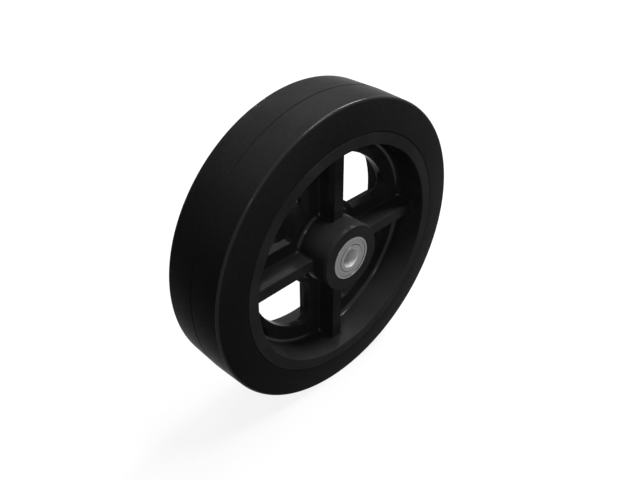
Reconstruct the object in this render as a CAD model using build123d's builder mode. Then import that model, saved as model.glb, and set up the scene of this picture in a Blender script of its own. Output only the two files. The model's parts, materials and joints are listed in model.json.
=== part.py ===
from build123d import *
import os
from math import cos, radians, sin, tan

# Rubber trolley wheel with a moulded plastic centre and two shielded ball bearings.
# Millimetres, Z up. The wheel spins about Y with its centre at the origin.
# The front is the side towards -Y, and the rear is its mirror image.
# Pairs of numbers in a section are a radius and a distance along the axle.

# Rubber tyre
tyre_radius = 100.0
tread_draft = 1.75
tread_corner_from_middle = 21.6
tyre_edge_round = 1.2
tyre_thickness = 20.7
key_height = 2.5
key_half_width = 8.0
key_flank_angle = 30.0

# Rim and web of the plastic centre
rim_half_width = 24.4
rim_wall = 7.5
rim_draft = 1.5
rim_foot_round = 3.2
rim_edge_round = 0.6
web_thickness = 6.4

# Ribs on both faces of the web
rib_count = 4
rib_height = 15.9
rib_thickness = 7.8
rib_draft = 1.4
rib_end_round = 1.5
rib_edge_round = 0.5

# Windows through the web, one between each two ribs
window_to_rim = 11.8
window_to_hub = 6.8
window_side_from_rib = 13.15
window_outer_corner = 7.0
window_inner_corner = 4.0
window_edge_round = 0.6

# Hub
hub_wall = 8.2125
hub_half_length = 26.9
hub_draft = 0.7
hub_foot_round = 2.8
hub_chamfer_radial = 0.8
hub_chamfer_axial = 1.8
seat_shoulder = 2.0
seat_lead_in = 0.4

# Ball bearings, 12.7 mm bore, 28.575 mm outside and 7.9375 mm wide
bore_radius = 6.35
ring_wall_at_groove = 1.5675
groove_depth = 1.03125
groove_to_ball = 1.04
outer_ring_chamfer = 0.5
bore_chamfer = 0.4
bearing_stand_out = 0.1
ball_count = 8
ball_radius = 2.38125
ball_clearance = 0.02
shield_thickness = 0.4
shield_set_back = 0.3
shield_seat_width = 1.1
shield_dish = 0.15
shield_running_gap = 0.3
cage_to_shoulder = 0.55
cage_to_shield = 0.2875
cage_back = 0.6
cage_overlap = 0.9
pocket_clearance = 0.1
prong_gap = 1.4
prong_depth = 1.6

# Spacer tube between the two inner rings
spacer_wall = 1.8
spacer_bore_clearance = 0.1

# Bearing sizes that follow from those above
race_shoulder_from_pitch = ball_radius - groove_depth
pitch_radius = bore_radius + ring_wall_at_groove + ball_clearance + ball_radius
bearing_outer_radius = pitch_radius + ball_radius + ball_clearance + ring_wall_at_groove
groove_radius = ball_radius * groove_to_ball
inner_groove_centre = pitch_radius - ball_radius - ball_clearance + groove_radius
outer_groove_centre = pitch_radius + ball_radius + ball_clearance - groove_radius
inner_race_radius = pitch_radius - race_shoulder_from_pitch
outer_race_radius = pitch_radius + race_shoulder_from_pitch
cage_wall = 2 * (race_shoulder_from_pitch - cage_to_shoulder)
shield_outer_radius = outer_race_radius + shield_seat_width
shield_inner_radius = inner_race_radius + shield_running_gap
shield_floor = ball_radius + cage_back + cage_to_shield
shield_face = shield_floor + shield_dish + shield_thickness
bearing_half_width = shield_floor + shield_thickness + shield_set_back
bearing_width = 2 * bearing_half_width

# Tyre, wheel centre and spacer sizes that follow
seat_radius = tyre_radius - tyre_thickness
tread_corner = (tyre_radius - tread_corner_from_middle * tan(radians(tread_draft)), tread_corner_from_middle)
key_tip_half_width = key_half_width - key_height * tan(radians(key_flank_angle))
rim_inner_radius = seat_radius - rim_wall
web_half = web_thickness / 2
hub_radius = bearing_outer_radius + hub_wall
rim_foot_radius = rim_inner_radius - (rim_half_width - web_half) * tan(radians(rim_draft))
hub_foot_radius = hub_radius + (hub_half_length - web_half) * tan(radians(hub_draft))
rib_root_thickness = rib_thickness + 2 * rib_height * tan(radians(rib_draft))
rib_reach = (rim_inner_radius + seat_radius) / 2
window_outer_radius = rim_inner_radius - window_to_rim
window_inner_radius = hub_radius + window_to_hub
hub_bore_radius = bearing_outer_radius - seat_shoulder
seat_depth = bearing_width - bearing_stand_out
bearing_middle = hub_half_length + bearing_stand_out - bearing_half_width
cage_mouth = bearing_middle - cage_overlap
spacer_bore_radius = bore_radius + spacer_bore_clearance
spacer_half_length = bearing_middle - bearing_half_width

# The tyre's bore and the rim's outside share this line, with the key ridge that holds the tyre
seat_line = [
    (seat_radius + key_height, 0),
    (seat_radius + key_height, key_tip_half_width),
    (seat_radius, key_half_width),
    (seat_radius, rim_half_width),
]


def from_middle(corner):
    return corner.center().length


def planes_round_axle(count, radius, along, half_steps=0):
    angles = [radians(180 / count * (2 * number + half_steps)) for number in range(count)]
    return [
        Plane(
            origin=(radius * cos(angle), along, radius * sin(angle)),
            x_dir=(-sin(angle), 0, cos(angle)),
            z_dir=(cos(angle), 0, sin(angle)),
        )
        for angle in angles
    ]


def save(piece, name):
    piece.part.label = name
    export_step(piece.part, f"parts/{name}.step")


os.makedirs("parts", exist_ok=True)

# Tyre, drafted both ways from the parting line round the middle of the tread
with BuildPart() as tyre:
    with BuildSketch() as tyre_section:
        with BuildLine():
            Polyline(*seat_line)
            FilletPolyline(seat_line[-1], tread_corner, (tyre_radius, 0), radius=tyre_edge_round)
            mirror(about=Plane.XZ)
        make_face()
    revolve(axis=Axis.Y)
save(tyre, "tyre")

# Plastic centre: rim, web and hub in one section, then ribs, windows and bearing seats
with BuildPart() as wheel_centre:
    with BuildSketch() as centre_section:
        with BuildLine():
            hub_shoulder = (hub_radius, hub_half_length - hub_chamfer_axial)
            rim_edge = (rim_inner_radius, rim_half_width)
            Polyline(
                (0, 0),
                (0, hub_half_length),
                (hub_radius - hub_chamfer_radial, hub_half_length),
                hub_shoulder,
            )
            FilletPolyline(
                hub_shoulder,
                (hub_foot_radius, web_half),
                (rim_foot_radius, web_half),
                rim_edge,
                seat_line[-1],
                radius=[hub_foot_round, rim_foot_round, rim_edge_round],
            )
            Polyline(*seat_line)
            mirror(about=Plane.XZ)
        make_face()
    revolve(axis=Axis.Y)

    with BuildSketch(Plane.XZ) as windows:
        Circle(window_outer_radius)
        Circle(window_inner_radius, mode=Mode.SUBTRACT)
        with PolarLocations(0, rib_count):
            Rectangle(
                window_outer_radius,
                2 * window_side_from_rib,
                align=(Align.MIN, Align.CENTER),
                mode=Mode.SUBTRACT,
            )
        fillet(windows.vertices().group_by(from_middle)[-1], window_outer_corner)
        fillet(windows.vertices().group_by(from_middle)[0], window_inner_corner)
    extrude(amount=web_thickness, both=True, mode=Mode.SUBTRACT)
    window_rims = wheel_centre.edges(Select.LAST).filter_by(Axis.Y, reverse=True)
    fillet(window_rims, window_edge_round)

    with BuildSketch(*planes_round_axle(rib_count, 0, 0)) as ribs:
        Trapezoid(rib_root_thickness, rib_height, 90 - rib_draft, align=(Align.CENTER, Align.MIN))
        fillet(ribs.vertices().group_by(Axis.Y)[-1], rib_edge_round)
        mirror(about=Plane.XZ)
    extrude(amount=rib_reach)
    flat_rings = wheel_centre.faces(Select.LAST).filter_by(Axis.Y).group_by(Axis.Y)
    rib_tops = flat_rings[0] + flat_rings[-1]
    fillet(rib_tops.edges().filter_by(GeomType.CIRCLE), rib_end_round)

    with Locations(Plane.XZ.offset(hub_half_length), Plane.ZX.offset(hub_half_length)):
        CounterBoreHole(hub_bore_radius, bearing_outer_radius, seat_depth)
    seat_edges = wheel_centre.edges(Select.LAST).group_by(Axis.Y)
    chamfer(seat_edges[0] + seat_edges[-1], seat_lead_in)
save(wheel_centre, "wheel_centre")

# Spacer tube, which keeps the two inner rings apart when the axle is tightened
with BuildPart() as spacer_tube:
    with BuildSketch() as spacer_section:
        with Locations((spacer_bore_radius, 0)):
            Rectangle(spacer_wall, 2 * spacer_half_length, align=(Align.MIN, Align.CENTER))
    revolve(axis=Axis.Y)
save(spacer_tube, "spacer_tube")

# Two bearings, each drawn from its own middle with the second number pointing out of the hub
for side, outward in (("front", -1), ("rear", 1)):
    section_plane = Plane(origin=(0, outward * bearing_middle, 0), x_dir=(1, 0, 0), z_dir=(0, 0, outward))

    with BuildPart() as outer_ring:
        with BuildSketch(section_plane) as outer_ring_section:
            with Locations((outer_race_radius, 0)):
                Rectangle(
                    bearing_outer_radius - outer_race_radius,
                    bearing_width,
                    align=(Align.MIN, Align.CENTER),
                )
            chamfer(outer_ring_section.vertices().group_by(Axis.X)[-1], outer_ring_chamfer)
            with Locations((outer_groove_centre, 0)):
                Circle(groove_radius, mode=Mode.SUBTRACT)
            for end in (-1, 1):
                with Locations((outer_race_radius, end * (shield_floor + bearing_half_width) / 2)):
                    Rectangle(
                        shield_seat_width,
                        bearing_half_width - shield_floor,
                        align=(Align.MIN, Align.CENTER),
                        mode=Mode.SUBTRACT,
                    )
        revolve(axis=Axis.Y)
    save(outer_ring, f"{side}_outer_ring")

    with BuildPart() as inner_ring:
        with BuildSketch(section_plane) as inner_ring_section:
            with Locations((bore_radius, 0)):
                Rectangle(inner_race_radius - bore_radius, bearing_width, align=(Align.MIN, Align.CENTER))
            chamfer(inner_ring_section.vertices().group_by(Axis.X)[0], bore_chamfer)
            with Locations((inner_groove_centre, 0)):
                Circle(groove_radius, mode=Mode.SUBTRACT)
        revolve(axis=Axis.Y)
    save(inner_ring, f"{side}_inner_ring")

    for place, end in (("outer", 1), ("inner", -1)):
        with BuildPart() as shield:
            with BuildSketch(section_plane) as shield_section:
                with BuildLine():
                    Polyline(
                        (shield_inner_radius, end * (shield_floor + shield_dish)),
                        (outer_race_radius - shield_dish, end * (shield_floor + shield_dish)),
                        (outer_race_radius, end * shield_floor),
                        (shield_outer_radius, end * shield_floor),
                        (shield_outer_radius, end * (shield_floor + shield_thickness)),
                        (outer_race_radius, end * (shield_floor + shield_thickness)),
                        (outer_race_radius - shield_dish, end * shield_face),
                        (shield_inner_radius, end * shield_face),
                        close=True,
                    )
                make_face()
            revolve(axis=Axis.Y)
        save(shield, f"{side}_{place}_shield")

    ball_planes = planes_round_axle(ball_count, pitch_radius, outward * bearing_middle)
    for number, ball_plane in enumerate(ball_planes, start=1):
        with BuildPart(ball_plane) as ball:
            Sphere(ball_radius)
        save(ball, f"{side}_ball_{number}")

    # Crown cage, open towards the middle of the hub, with two prongs hooked round each ball
    with BuildPart() as cage:
        with BuildSketch(section_plane) as cage_section:
            with Locations((pitch_radius, (ball_radius + cage_back - cage_overlap) / 2)):
                Rectangle(cage_wall, ball_radius + cage_back + cage_overlap)
        revolve(axis=Axis.Y)
        with Locations(*ball_planes):
            Sphere(ball_radius + pocket_clearance, mode=Mode.SUBTRACT)
        with Locations(*planes_round_axle(ball_count, pitch_radius, outward * cage_mouth, half_steps=1)):
            Box(prong_gap, 2 * prong_depth, 2 * cage_wall, mode=Mode.SUBTRACT)
    save(cage, f"{side}_cage")
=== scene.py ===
import json
import math
import bmesh
import bpy
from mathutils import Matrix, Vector


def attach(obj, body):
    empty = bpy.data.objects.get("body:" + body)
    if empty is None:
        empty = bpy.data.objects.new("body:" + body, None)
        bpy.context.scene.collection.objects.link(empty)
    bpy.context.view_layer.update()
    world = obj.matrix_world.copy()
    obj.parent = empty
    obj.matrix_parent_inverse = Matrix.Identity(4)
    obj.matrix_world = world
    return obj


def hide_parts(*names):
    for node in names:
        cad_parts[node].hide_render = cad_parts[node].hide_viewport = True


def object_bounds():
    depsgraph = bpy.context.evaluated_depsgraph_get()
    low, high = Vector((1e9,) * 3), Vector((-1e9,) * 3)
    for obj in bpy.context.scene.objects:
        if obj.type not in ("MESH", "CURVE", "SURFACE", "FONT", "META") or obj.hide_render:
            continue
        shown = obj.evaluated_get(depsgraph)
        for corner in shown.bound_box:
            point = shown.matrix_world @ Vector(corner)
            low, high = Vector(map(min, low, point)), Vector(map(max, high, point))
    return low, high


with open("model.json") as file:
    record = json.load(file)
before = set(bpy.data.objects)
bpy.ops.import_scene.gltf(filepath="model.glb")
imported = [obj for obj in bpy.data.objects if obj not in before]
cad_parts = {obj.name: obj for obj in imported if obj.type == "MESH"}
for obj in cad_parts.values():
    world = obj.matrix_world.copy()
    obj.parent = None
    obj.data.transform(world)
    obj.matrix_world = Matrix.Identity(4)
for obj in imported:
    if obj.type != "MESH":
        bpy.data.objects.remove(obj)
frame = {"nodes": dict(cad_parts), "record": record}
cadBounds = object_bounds()
mm = 0.001
print("stage: frame loaded,", len(frame["nodes"]), "CAD nodes")


# Node maths: sums on a Wire add Math nodes, and any other node comes from Wire.node
class Wire:
    def __init__(self, tree, socket=None):
        self.tree = tree
        self.socket = socket

    def node(self, kind, settings, values, output=0):
        made = self.tree.nodes.new(kind)
        for name, value in settings.items():
            setattr(made, name, value)
        for key, value in values.items():
            if isinstance(value, Wire):
                self.tree.links.new(value.socket, made.inputs[key])
            else:
                made.inputs[key].default_value = value
        return Wire(self.tree, made.outputs[output] if made.outputs else None)

    def outputs(self, kind, values, names):
        first = self.node(kind, {}, values)
        return [Wire(self.tree, first.socket.node.outputs[name]) for name in names]

    def maths(self, operation, first, second=0.0):
        return self.node("ShaderNodeMath", {"operation": operation}, {0: first, 1: second})

    def __add__(self, other):
        return self.maths("ADD", self, other)

    def __sub__(self, other):
        return self.maths("SUBTRACT", self, other)

    def __rsub__(self, other):
        return self.maths("SUBTRACT", other, self)

    def __mul__(self, other):
        return self.maths("MULTIPLY", self, other)

    __radd__ = __add__
    __rmul__ = __mul__


def newMaterial(name):
    material = bpy.data.materials.new(name)
    material.use_nodes = True
    material.node_tree.nodes.clear()
    return material, Wire(material.node_tree)


def objectPlace(wire):
    return wire.node("ShaderNodeTexCoord", {}, {}, "Object")


def apart(wire, first, second):                    # how far apart, from two offsets at right angles
    return wire.maths("POWER", first * first + second * second, 0.5)


def roundAxle(wire, place):                        # distance from the axle line, and distance along it
    across, along, up = wire.outputs("ShaderNodeSeparateXYZ", {0: place}, ("X", "Y", "Z"))
    return apart(wire, across, up), along


def ringTrack(wire, radius, along):                # a place that is the same all the way round the axle
    return wire.node("ShaderNodeCombineXYZ", {}, {"X": radius, "Y": along, "Z": 0.0})


def noise(wire, place, pattern):                   # a pattern is a noise's scale, detail and roughness
    scale, detail, roughness = pattern
    return wire.node("ShaderNodeTexNoise", {}, {
        "Vector": place, "Scale": scale, "Detail": detail, "Roughness": roughness})


def mixed(patterns, shares):                       # noises added together, each by its share
    total = patterns[0] * shares[0]
    for pattern, share in zip(patterns[1:], shares[1:]):
        total = total + pattern * share
    return total


noiseSpan = (0.3, 0.7)                             # nearly all of a noise lies between these two


def spread(wire, value, low=0.0, high=1.0):        # a noise, drawn out over a full range
    return wire.node("ShaderNodeMapRange", {}, {
        "Value": value, "From Min": noiseSpan[0], "From Max": noiseSpan[1], "To Min": low, "To Max": high})


def between(wire, value, low, high):               # 0 below low, 1 above high, soft in between
    settings = {"interpolation_type": "SMOOTHSTEP"}
    return wire.node("ShaderNodeMapRange", settings, {"Value": value, "From Min": low, "From Max": high})


ringCore = 0.7                                     # a ring of shine is full over this share of its reach


def nearRing(wire, radius, along, ring):           # 1 near a circle about the axle, front and rear, 0 off it
    off = radius - ring["radius"]
    beside = wire.maths("ABSOLUTE", along) - ring["along"]
    return 1 - between(wire, apart(wire, off, beside), ring["reach"] * ringCore, ring["reach"])


def tintMix(wire, mask, dark, light):              # the Mix node's inputs 6 and 7 and output 2 are its colours
    ends = {6: dark if isinstance(dark, Wire) else (*dark, 1.0), 7: (*light, 1.0)}
    return wire.node("ShaderNodeMix", {"data_type": "RGBA"}, {"Factor": mask, **ends}, 2)


def bumped(wire, look, height):
    return wire.node("ShaderNodeBump", {}, {
        "Strength": look["bump"], "Distance": look["bumpDepth"], "Height": height})


def shade(wire, sockets):
    shader = wire.node("ShaderNodeBsdfPrincipled", {}, sockets)
    wire.node("ShaderNodeOutputMaterial", {}, {"Surface": shader})


# Rubber: near black and dull, with mould grain, a faint bloom in clouds and turning marks from the mould,
# and a slight shine along the edge of the tread
rubberLook = {
    "dark": (0.0095, 0.0095, 0.0098),
    "bloom": (0.0190, 0.0190, 0.0195),
    "clouds": (16.0, 4.0, 0.6),
    "specks": (420.0, 3.0, 0.7),
    "marks": (650.0, 2.0, 0.6),
    "grain": (1700.0, 2.0, 0.5),
    "bloomShares": (0.55, 0.35, 0.1),
    "roughShares": (0.4, 0.4, 0.2),
    "heightShares": (0.6, 0.4, 0.15),
    "edge": {"radius": 99.34 * mm, "along": 21.6 * mm, "reach": 1.4 * mm},
    "edgeShine": 0.20,
    "edgeRough": 0.20,
    "rough": (0.26, 0.40),
    "gloss": 0.004,
    "bump": 0.80,
    "bumpDepth": 0.2 * mm,
}


def tyreRubber():
    look = rubberLook
    material, wire = newMaterial("tyreRubber")
    place = objectPlace(wire)
    radius, along = roundAxle(wire, place)
    clouds = noise(wire, place, look["clouds"])
    grain = noise(wire, place, look["grain"])
    specks = noise(wire, place, look["specks"])
    marks = noise(wire, ringTrack(wire, radius, along), look["marks"])
    bloom = spread(wire, mixed((clouds, specks, marks), look["bloomShares"]))
    shade(wire, {
        "Base Color": tintMix(wire, bloom, look["dark"], look["bloom"]),
        "Roughness": spread(wire, mixed((clouds, specks, marks), look["roughShares"]), *look["rough"]),
        "Specular IOR Level": look["gloss"],
        "Coat Weight": nearRing(wire, radius, along, look["edge"]) * look["edgeShine"],
        "Coat Roughness": look["edgeRough"],
        "Normal": bumped(wire, look, mixed((grain, specks, marks), look["heightShares"])),
    })
    return material


# Moulded plastic: black, a little smoother than the rubber, with a spark-eroded grain and soft flow clouds,
# and a shine on the rounds at the foot of the hub and of the rim
plasticLook = {
    "dark": (0.0165, 0.0165, 0.0170),
    "pale": (0.0330, 0.0330, 0.0339),
    "flow": (26.0, 5.0, 0.6),
    "pebbles": (700.0, 2.0, 0.6),
    "grain": (2200.0, 2.0, 0.5),
    "roughShares": (0.5, 0.5),
    "heightShares": (0.5, 0.5),
    "hubFoot": {"radius": 22.8 * mm, "along": 3.2 * mm, "reach": 2.9 * mm},
    "rimFoot": {"radius": 71.2 * mm, "along": 3.2 * mm, "reach": 3.3 * mm},
    "footShine": 0.24,
    "footRough": 0.16,
    "rough": (0.11, 0.17),
    "gloss": 0.008,
    "bump": 0.25,
    "bumpDepth": 0.1 * mm,
}


def centrePlastic():
    look = plasticLook
    material, wire = newMaterial("centrePlastic")
    place = objectPlace(wire)
    radius, along = roundAxle(wire, place)
    feet = nearRing(wire, radius, along, look["hubFoot"]) + nearRing(wire, radius, along, look["rimFoot"])
    flow = noise(wire, place, look["flow"])
    grain = noise(wire, place, look["grain"])
    pebbles = noise(wire, place, look["pebbles"])
    shade(wire, {
        "Base Color": tintMix(wire, spread(wire, flow), look["dark"], look["pale"]),
        "Roughness": spread(wire, mixed((flow, pebbles), look["roughShares"]), *look["rough"]),
        "Specular IOR Level": look["gloss"],
        "Coat Weight": feet * look["footShine"],
        "Coat Roughness": look["footRough"],
        "Normal": bumped(wire, look, mixed((grain, pebbles), look["heightShares"])),
    })
    return material


# Steel: one maker for every metal piece, with lines that run round the axle, as turning and grinding leave them
steelLooks = {
    "ringSteel": {
        "dark": (0.138, 0.138, 0.140), "light": (0.204, 0.204, 0.206),
        "rough": (0.26, 0.38), "lines": (5200.0, 2.0, 0.6), "bump": 0.12},
    "shieldSteel": {
        "dark": (0.138, 0.138, 0.140), "light": (0.180, 0.180, 0.182),
        "rough": (0.34, 0.46), "lines": (2600.0, 2.0, 0.6), "bump": 0.08},
    "spacerSteel": {
        "dark": (0.40, 0.41, 0.43), "light": (0.54, 0.55, 0.58),
        "rough": (0.42, 0.56), "lines": (3000.0, 2.0, 0.6), "bump": 0.10},
    "ballSteel": {
        "dark": (0.55, 0.55, 0.56), "light": (0.66, 0.66, 0.67),
        "rough": (0.08, 0.14), "lines": (900.0, 2.0, 0.6), "bump": 0.02},
}
everySteel = {
    "stains": (260.0, 3.0, 0.6),
    "tintShares": (0.6, 0.4),
    "roughShares": (0.5, 0.5),
    "bumpDepth": 0.1 * mm,
}
# The bore's pale colour is painted light that lifts the inside of the bore, where shade falls; its higher
# roughness is a honed finish
boreHoningAndPaintedLight = {"edge": 6.42 * mm, "fade": 0.05 * mm, "colour": (0.62, 0.62, 0.62), "rough": 0.62}


def turnedSteel(name):
    look = {**everySteel, **steelLooks[name]}
    material, wire = newMaterial(name)
    place = objectPlace(wire)
    radius, along = roundAxle(wire, place)
    lines = noise(wire, ringTrack(wire, radius, along), look["lines"])
    stains = noise(wire, place, look["stains"])
    tint = spread(wire, mixed((lines, stains), look["tintShares"]))
    colour = tintMix(wire, tint, look["dark"], look["light"])
    rough = spread(wire, mixed((lines, stains), look["roughShares"]), *look["rough"])
    if name == "ringSteel":                        # the bore is duller than the ground faces, as honed, and painted paler, as painted light in its shaded inside
        bore = 1 - between(wire, radius, boreHoningAndPaintedLight["edge"] - boreHoningAndPaintedLight["fade"], boreHoningAndPaintedLight["edge"])
        colour = tintMix(wire, bore, colour, boreHoningAndPaintedLight["colour"])
        rough = rough + bore * (boreHoningAndPaintedLight["rough"] - look["rough"][0])
    shade(wire, {
        "Base Color": colour, "Roughness": rough, "Metallic": 1.0, "Normal": bumped(wire, look, lines)})
    return material


# Cages: cream nylon that lets a little light in
cageLook = {
    "dark": (0.50, 0.46, 0.37),
    "light": (0.62, 0.58, 0.48),
    "mottle": (300.0, 3.0, 0.5),
    "rough": (0.38, 0.5),
    "inside": 0.1,
    "insideReach": (2.0 * mm, 2.0 * mm, 1.5 * mm),
}


def cageNylon():
    look = cageLook
    material, wire = newMaterial("cageNylon")
    mottle = noise(wire, objectPlace(wire), look["mottle"])
    shade(wire, {
        "Base Color": tintMix(wire, spread(wire, mottle), look["dark"], look["light"]),
        "Roughness": spread(wire, mottle, *look["rough"]),
        "Subsurface Weight": look["inside"],
        "Subsurface Radius": look["insideReach"],
    })
    return material


finishes = {
    "tyre_rubber": tyreRubber(),
    "centre_plastic": centrePlastic(),
    "ring_steel": turnedSteel("ringSteel"),
    "shield_steel": turnedSteel("shieldSteel"),
    "ball_steel": turnedSteel("ballSteel"),
    "cage_nylon": cageNylon(),
    "spacer_steel": turnedSteel("spacerSteel"),
}
for subpart in frame["record"]["subparts"]:
    slots = frame["nodes"][subpart["node"]].material_slots
    slots[0].material = finishes[subpart["material_slot"]]
print("stage: finishes made,", len(finishes), "materials")


# How finely the turned pieces and the balls are divided
fineness = {
    "roundSteps": 6,
    "grooveSteps": 14,
    "ballSegments": 40,
    "ballRings": 24,
    "weld": 0.001 * mm,
    "sharpFrom": math.radians(32),
}


def nodeTree(name, inputs):
    tree = bpy.data.node_groups.new(name, "GeometryNodeTree")
    for label, kind in inputs:
        tree.interface.new_socket(label, in_out="INPUT", socket_type=kind)
    tree.interface.new_socket("Piece", in_out="OUTPUT", socket_type="NodeSocketGeometry")
    wire = Wire(tree)
    return tree, wire, wire.outputs("NodeGroupInput", {}, [label for label, kind in inputs])


def endTree(wire, shape, finish):
    whole = wire.node("GeometryNodeRealizeInstances", {}, {"Geometry": shape})
    finished = wire.node("GeometryNodeSetMaterial", {}, {"Geometry": whole, "Material": finish})
    wire.node("NodeGroupOutput", {}, {"Piece": finished})


# Lathe: carries a section, a closed line of points, all the way round the axle. A flat sheet, one unit wide and
# deep, has a column for each step round and a row for each point, and its two pairs of edges are welded.
def latheTree():
    tree, wire, (section, steps, finish) = nodeTree("lathe", [
        ("Section", "NodeSocketGeometry"),
        ("Steps round", "NodeSocketInt"),
        ("Finish", "NodeSocketMaterial")])
    count = wire.node("GeometryNodeAttributeDomainSize", {}, {"Geometry": section})
    sheet = wire.node("GeometryNodeMeshGrid", {}, {
        "Size X": 1.0, "Size Y": 1.0, "Vertices X": steps + 1, "Vertices Y": count + 1})
    place = wire.node("GeometryNodeInputPosition", {}, {})
    across, down = wire.outputs("ShaderNodeSeparateXYZ", {0: place}, ("X", "Y"))
    turn = (across + 0.5) * (2 * math.pi)
    number = wire.maths("MODULO", wire.maths("ROUND", (down + 0.5) * count), count)
    point = wire.node("GeometryNodeSampleIndex", {"data_type": "FLOAT_VECTOR"}, {
        "Geometry": section, "Value": place, "Index": number})
    radius, along = wire.outputs("ShaderNodeSeparateXYZ", {0: point}, ("X", "Y"))
    target = wire.node("ShaderNodeCombineXYZ", {}, {
        "X": radius * wire.maths("COSINE", turn), "Y": along, "Z": radius * wire.maths("SINE", turn)})
    shape = wire.node("GeometryNodeSetPosition", {}, {"Geometry": sheet, "Position": target})
    closed = wire.node("GeometryNodeMergeByDistance", {}, {"Geometry": shape, "Distance": fineness["weld"]})
    endTree(wire, closed, finish)
    return tree


def ballRowTree():                                 # balls on a circle about the axle
    tree, wire, (count, pitch, size, along, finish) = nodeTree("ballRow", [
        ("Balls", "NodeSocketInt"),
        ("Pitch radius", "NodeSocketFloat"),
        ("Ball radius", "NodeSocketFloat"),
        ("Along the axle", "NodeSocketFloat"),
        ("Finish", "NodeSocketMaterial")])
    circle = wire.node("GeometryNodeMeshCircle", {}, {"Vertices": count, "Radius": pitch})
    ball = wire.node("GeometryNodeMeshUVSphere", {}, {
        "Segments": fineness["ballSegments"], "Rings": fineness["ballRings"], "Radius": size})
    row = wire.node("GeometryNodeInstanceOnPoints", {}, {"Points": circle, "Instance": ball})
    middle = wire.node("ShaderNodeCombineXYZ", {}, {"Y": along})
    upright = wire.node("GeometryNodeTransform", {}, {
        "Geometry": row, "Translation": middle, "Rotation": (math.pi / 2, 0.0, 0.0)})
    endTree(wire, upright, finish)
    return tree


def runTree(name, tree, blank, settings):          # a plain mesh, once the tree has made it
    piece = bpy.data.objects.new(name, blank)
    bpy.context.scene.collection.objects.link(piece)
    maker = piece.modifiers.new("maker", "NODES")
    maker.node_group = tree
    for item in tree.interface.items_tree:
        if item.in_out == "INPUT" and item.name in settings:
            maker[item.identifier] = settings[item.name]
    made = piece.evaluated_get(bpy.context.evaluated_depsgraph_get())
    mesh = bpy.data.meshes.new_from_object(made)
    piece.modifiers.clear()
    piece.data = mesh
    mesh.name = name
    work = bmesh.new()
    work.from_mesh(mesh)
    bmesh.ops.recalc_face_normals(work, faces=work.faces)
    for face in work.faces:
        face.smooth = True
    work.to_mesh(mesh)
    work.free()
    mesh.set_sharp_from_angle(angle=fineness["sharpFrom"])
    return piece


trees = {"lathe": latheTree(), "ballRow": ballRowTree()}


def arc(radius, along, size, start, end):          # corners with no round of their own, along an arc
    steps = fineness["grooveSteps"]
    turns = [math.radians(start + (end - start) * step / steps) for step in range(steps + 1)]
    return [(radius + size * math.cos(turn), along + size * math.sin(turn), 0.0) for turn in turns]


def softened(corners):                             # a corner is a radius, a place along the axle and its round
    steps = fineness["roundSteps"]
    points = []
    for index, (radius, along, size) in enumerate(corners):
        here = Vector((radius, along))
        if size == 0.0:
            points.append(tuple(here))
            continue
        before = (Vector(corners[index - 1][:2]) - here).normalized()
        after = (Vector(corners[(index + 1) % len(corners)][:2]) - here).normalized()
        half = before.angle(after) / 2
        middle = here + (before + after).normalized() * (size / math.sin(half))
        first = here + before * (size / math.tan(half)) - middle
        last = here + after * (size / math.tan(half)) - middle
        for step in range(steps + 1):
            share = step / steps
            spoke = first * (1 - share) + last * share
            points.append(tuple(middle + spoke.normalized() * size))
    return points


def turned(name, corners, steps, body, slot, *nodes):
    points = softened(corners)
    section = bpy.data.meshes.new(name + "Section")
    links = [(index, (index + 1) % len(points)) for index in range(len(points))]
    section.from_pydata([(radius * mm, along * mm, 0.0) for radius, along in points], links, [])
    piece = runTree(name, trees["lathe"], section, {"Steps round": steps, "Finish": finishes[slot]})
    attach(piece, body)
    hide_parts(*nodes)


# Tyre: straight drafted halves that meet in a fine parting line, with soft edges at the tread and beside the
# rim. These sizes, and those of the pieces below, are in millimetres.
tyreShape = {
    "radius": 100.0,
    "corner": (99.34, 21.6),
    "seat": (79.3, 24.4),
    "keyRoot": (79.3, 8.0),
    "keyTop": (81.8, 6.557),
    "edgeRound": 1.2,
    "seatRound": 0.8,
    "keyRound": 0.4,
    "grooveHalf": 0.45,
    "grooveDepth": 0.5,
    "grooveFloor": 0.12,
    "grooveRound": 0.1,
    "steps": 360,
}


def makeTyre():
    shape = tyreShape
    top = shape["radius"]
    side = [
        (*shape["keyTop"], shape["keyRound"]),
        (*shape["keyRoot"], shape["keyRound"]),
        (*shape["seat"], shape["seatRound"]),
        (*shape["corner"], shape["edgeRound"]),
        (top, shape["grooveHalf"], shape["grooveRound"]),
        (top - shape["grooveDepth"], shape["grooveFloor"], shape["grooveRound"]),
    ]
    other = [(radius, -along, size) for radius, along, size in reversed(side)]
    turned("solidTyre", side + other, shape["steps"], "wheel", "tyre_rubber", "tyre")


# Ball bearings: each piece's section is drawn from the bearing's middle, outward from the hub
bearingShape = {
    "middle": 23.03125,
    "half": 3.96875,
    "bore": 6.35,
    "outside": 14.2875,
    "pitch": 10.31875,
    "shoulder": 1.35,
    "groove": 2.4765,
    "grooveShift": 0.07525,
    "ball": 2.38125,
    "balls": 8,
    "outerRound": 0.45,
    "boreRound": 0.36,
    "faceRound": 0.12,
    "shieldFloor": 3.26875,
    "shieldSeat": 1.1,
    "shieldThick": 0.4,
    "shieldDish": 0.15,
    "shieldGap": 0.3,
    "shieldRound": 0.12,
    "steps": 144,
}


def outerRingCorners(shape):
    race = shape["pitch"] + shape["shoulder"]
    seat = race + shape["shieldSeat"]
    centre = shape["pitch"] - shape["grooveShift"]
    turn = math.degrees(math.acos((race - centre) / shape["groove"]))
    half, floor, face = shape["half"], shape["shieldFloor"], shape["faceRound"]
    return [
        (shape["outside"], -half, shape["outerRound"]),
        (shape["outside"], half, shape["outerRound"]),
        (seat, half, face),
        (seat, floor, 0.0),
        (race, floor, face),
        *arc(centre, 0.0, shape["groove"], turn, -turn),
        (race, -floor, face),
        (seat, -floor, 0.0),
        (seat, -half, face),
    ]


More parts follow.
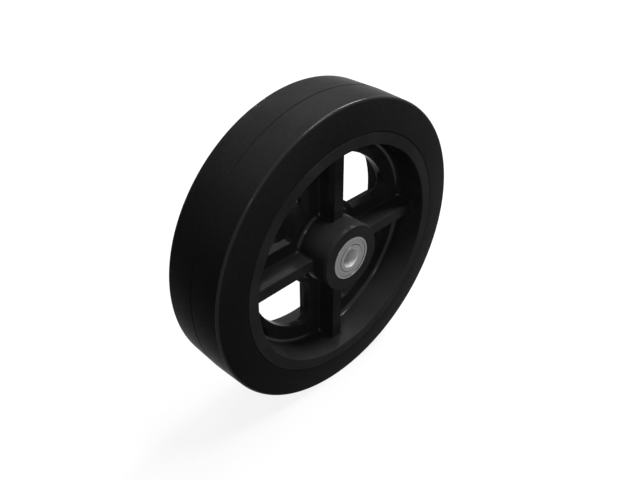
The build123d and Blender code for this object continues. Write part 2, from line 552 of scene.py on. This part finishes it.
def innerRingCorners(shape):
    race = shape["pitch"] - shape["shoulder"]
    centre = shape["pitch"] + shape["grooveShift"]
    turn = math.degrees(math.acos((centre - race) / shape["groove"]))
    return [
        (shape["bore"], shape["half"], shape["boreRound"]),
        (shape["bore"], -shape["half"], shape["boreRound"]),
        (race, -shape["half"], shape["faceRound"]),
        *arc(centre, 0.0, shape["groove"], 180 + turn, 180 - turn),
        (race, shape["half"], shape["faceRound"]),
    ]


def shieldCorners(shape, end):
    race = shape["pitch"] + shape["shoulder"]
    lip = shape["pitch"] - shape["shoulder"] + shape["shieldGap"]
    floor, dish = shape["shieldFloor"], shape["shieldDish"]
    thick, size = shape["shieldThick"], shape["shieldRound"]
    outline = [
        (lip, floor + dish, size),
        (race - dish, floor + dish, size),
        (race, floor, size),
        (race + shape["shieldSeat"], floor, 0.0),
        (race + shape["shieldSeat"], floor + thick, size),
        (race, floor + thick, size),
        (race - dish, floor + dish + thick, size),
        (lip, floor + dish + thick, size),
    ]
    return [(radius, end * along, size) for radius, along, size in outline]


def makeBearing(side, outward):
    shape = bearingShape

    def turnedHere(name, corners, body, slot, node):
        placed = [(radius, outward * (shape["middle"] + along), size) for radius, along, size in corners]
        turned(side + name, placed, shape["steps"], body, slot, side + node)

    turnedHere("OuterRing", outerRingCorners(shape), "wheel", "ring_steel", "_outer_ring")
    turnedHere("InnerRing", innerRingCorners(shape), "axle_set", "ring_steel", "_inner_ring")
    turnedHere("OuterShield", shieldCorners(shape, 1), "wheel", "shield_steel", "_outer_shield")
    turnedHere("InnerShield", shieldCorners(shape, -1), "wheel", "shield_steel", "_inner_shield")
    row = runTree(side + "Balls", trees["ballRow"], bpy.data.meshes.new(side + "Balls"), {
        "Balls": shape["balls"],
        "Pitch radius": shape["pitch"] * mm,
        "Ball radius": shape["ball"] * mm,
        "Along the axle": outward * shape["middle"] * mm,
        "Finish": finishes["ball_steel"]})
    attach(row, side + "_ball_set")
    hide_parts(*[side + "_ball_" + str(number + 1) for number in range(shape["balls"])])


# Spacer: the tube between the two inner rings
spacerShape = {"inside": 6.45, "outside": 8.25, "half": 19.0625, "edgeRound": 0.2, "steps": 96}


def makeSpacer():
    shape = spacerShape
    ends = [(shape["outside"], -1), (shape["outside"], 1), (shape["inside"], 1), (shape["inside"], -1)]
    corners = [(radius, end * shape["half"], shape["edgeRound"]) for radius, end in ends]
    turned("spacerSleeve", corners, shape["steps"], "axle_set", "spacer_steel", "spacer_tube")


makeTyre()
makeBearing("front", -1)
makeBearing("rear", 1)
makeSpacer()
print("stage: turned pieces made")


# Studio: a pale floor under the tyre and soft lamps, the strongest high up and to the right, as the photo's
# upper faces are the pale ones
studio = {
    "floorHalf": 4.0,
    "floorColour": (0.09, 0.09, 0.09),
    "floorGlow": 0.88,
    "glowReach": (0.35, 1.10),
    "worldGrey": 0.07,
    "lamps": {
        "top": {"place": (0.80, 0.10, 0.92), "size": 0.35, "power": 22.0},
        "slant": {"place": (0.30, -0.27, 1.10), "size": 0.36, "power": 14.0},
        "head": {"place": (-0.68, -0.72, 0.66), "size": 0.06, "power": 2.0},
        "rear": {"place": (0.45, 1.00, 0.30), "size": 0.12, "power": 3.0},
        "rearSlant": {"place": (0.56, 0.60, 0.82), "size": 0.44, "power": 5.5},
    },
}
white = (1.0, 1.0, 1.0, 1.0)


def paleRays(wire):                                # 1 where the camera, a gloss or a clear piece looks
    camera, glossy, clear = wire.outputs(
        "ShaderNodeLightPath", {}, ("Is Camera Ray", "Is Glossy Ray", "Is Transmission Ray"))
    return wire.maths("MAXIMUM", wire.maths("MAXIMUM", camera, glossy), clear)


def makeFloor():
    half = studio["floorHalf"]
    level = cadBounds[0][2]
    mesh = bpy.data.meshes.new("floor")
    corners = [(-half, -half, level), (half, -half, level), (half, half, level), (-half, half, level)]
    mesh.from_pydata(corners, [], [(0, 1, 2, 3)])
    floor = bpy.data.objects.new("floor", mesh)
    bpy.context.scene.collection.objects.link(floor)
    material, wire = newMaterial("paleFloor")
    matt = wire.node("ShaderNodeBsdfDiffuse", {}, {"Color": (*studio["floorColour"], 1.0)})
    across, along = wire.outputs("ShaderNodeSeparateXYZ", {0: objectPlace(wire)}, ("X", "Y"))
    away = between(wire, apart(wire, across, along), *studio["glowReach"])
    strength = away * (1.0 - studio["floorGlow"]) + studio["floorGlow"]       # as white as the sky, far away
    glow = wire.node("ShaderNodeEmission", {}, {"Color": white, "Strength": paleRays(wire) * strength})
    both = wire.node("ShaderNodeAddShader", {}, {0: matt, 1: glow})
    wire.node("ShaderNodeOutputMaterial", {}, {"Surface": both})
    mesh.materials.append(material)


def makeWorld():
    world = bpy.data.worlds.new("studioWorld")
    world.use_nodes = True
    world.node_tree.nodes.clear()
    wire = Wire(world.node_tree)
    strength = paleRays(wire) * (1.0 - studio["worldGrey"]) + studio["worldGrey"]
    sky = wire.node("ShaderNodeBackground", {}, {"Color": white, "Strength": strength})
    wire.node("ShaderNodeOutputWorld", {}, {"Surface": sky})
    bpy.context.scene.world = world


def faceWheel(thing):                              # turns a lamp or the camera towards the wheel's centre
    thing.rotation_euler = (-thing.location).to_track_quat("-Z", "Y").to_euler()
    bpy.context.scene.collection.objects.link(thing)


def addLamp(name, settings):
    lamp = bpy.data.lights.new(name + "Lamp", "AREA")
    lamp.size = settings["size"]
    lamp.energy = settings["power"]
    light = bpy.data.objects.new(name + "Lamp", lamp)
    light.location = settings["place"]
    faceWheel(light)


# Camera: looks along the isometric direction at the wheel's centre, as in the photo
view = {"from": (-1.0, -1.0, 1.0), "away": 0.4597, "lens": 41.0, "sensor": 36.0}


def makeCamera():
    lens = bpy.data.cameras.new("camera")
    lens.sensor_width = view["sensor"]
    lens.lens = view["lens"]
    camera = bpy.data.objects.new("camera", lens)
    camera.location = Vector(view["from"]).normalized() * view["away"]
    faceWheel(camera)
    bpy.context.scene.camera = camera


makeFloor()
makeWorld()
for lampName, lampSettings in studio["lamps"].items():
    addLamp(lampName, lampSettings)
makeCamera()
bpy.context.scene.view_settings.view_transform = "Standard"
print("stage: studio and camera set")
